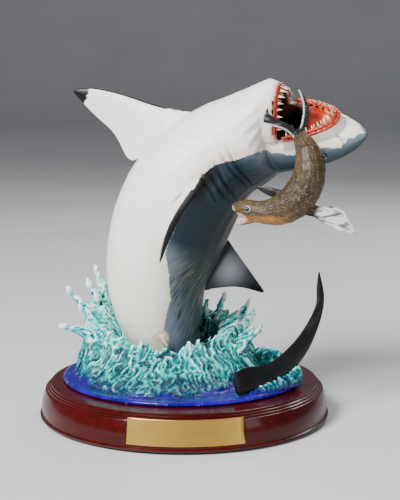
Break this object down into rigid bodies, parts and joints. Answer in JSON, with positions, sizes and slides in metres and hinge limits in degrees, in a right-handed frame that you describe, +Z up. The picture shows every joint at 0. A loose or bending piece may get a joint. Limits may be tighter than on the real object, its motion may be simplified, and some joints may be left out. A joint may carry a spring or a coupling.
{
  "type": "shark figurine",
  "caption": "Display figure of a leaping great white shark with a seal in its open jaws, rising from a splash of water on a turned wooden plinth with a bare brass plate.",
  "frame": {"origin": "centre of the felt pad's underside", "axes": "+Z up, -Y towards the name plate, +X to the viewer's right"},
  "size_m": [0.2528, 0.23, 0.2665],
  "materials": {
    "lacquered_wood": "mahogany stain under clear gloss lacquer",
    "felt": "matt wool felt",
    "brushed_brass": "brushed lengthways and lacquered",
    "zinc_plated_steel": "bright zinc plate",
    "painted_sea": "cast resin painted ultramarine, turquoise and white, gloss varnish",
    "painted_skin": "cast resin painted white below and slate blue above, satin varnish",
    "painted_fin": "cast resin painted near black with a pale bloom, satin varnish",
    "gum_and_teeth": "cast resin, red gums and ivory teeth, gloss varnish",
    "painted_fur": "cast resin with brushed brown fur texture, satin varnish"
  },
  "bodies": {
    "root": {"plinth": "lacquered_wood", "felt_pad": "felt", "name_plate": "brushed_brass", "plinth_screw_1": "zinc_plated_steel", "plinth_screw_2": "zinc_plated_steel", "plinth_screw_3": "zinc_plated_steel", "body_bolt": "zinc_plated_steel", "water_base": "painted_sea", "shark_body": "painted_skin", "left_pectoral_fin": "painted_skin", "right_pectoral_fin": "painted_skin", "dorsal_fin": "painted_fin", "caudal_fin": "painted_fin", "upper_jaw": "gum_and_teeth", "lower_jaw": "gum_and_teeth", "seal": "painted_fur"}
  },
  "joints": []
}
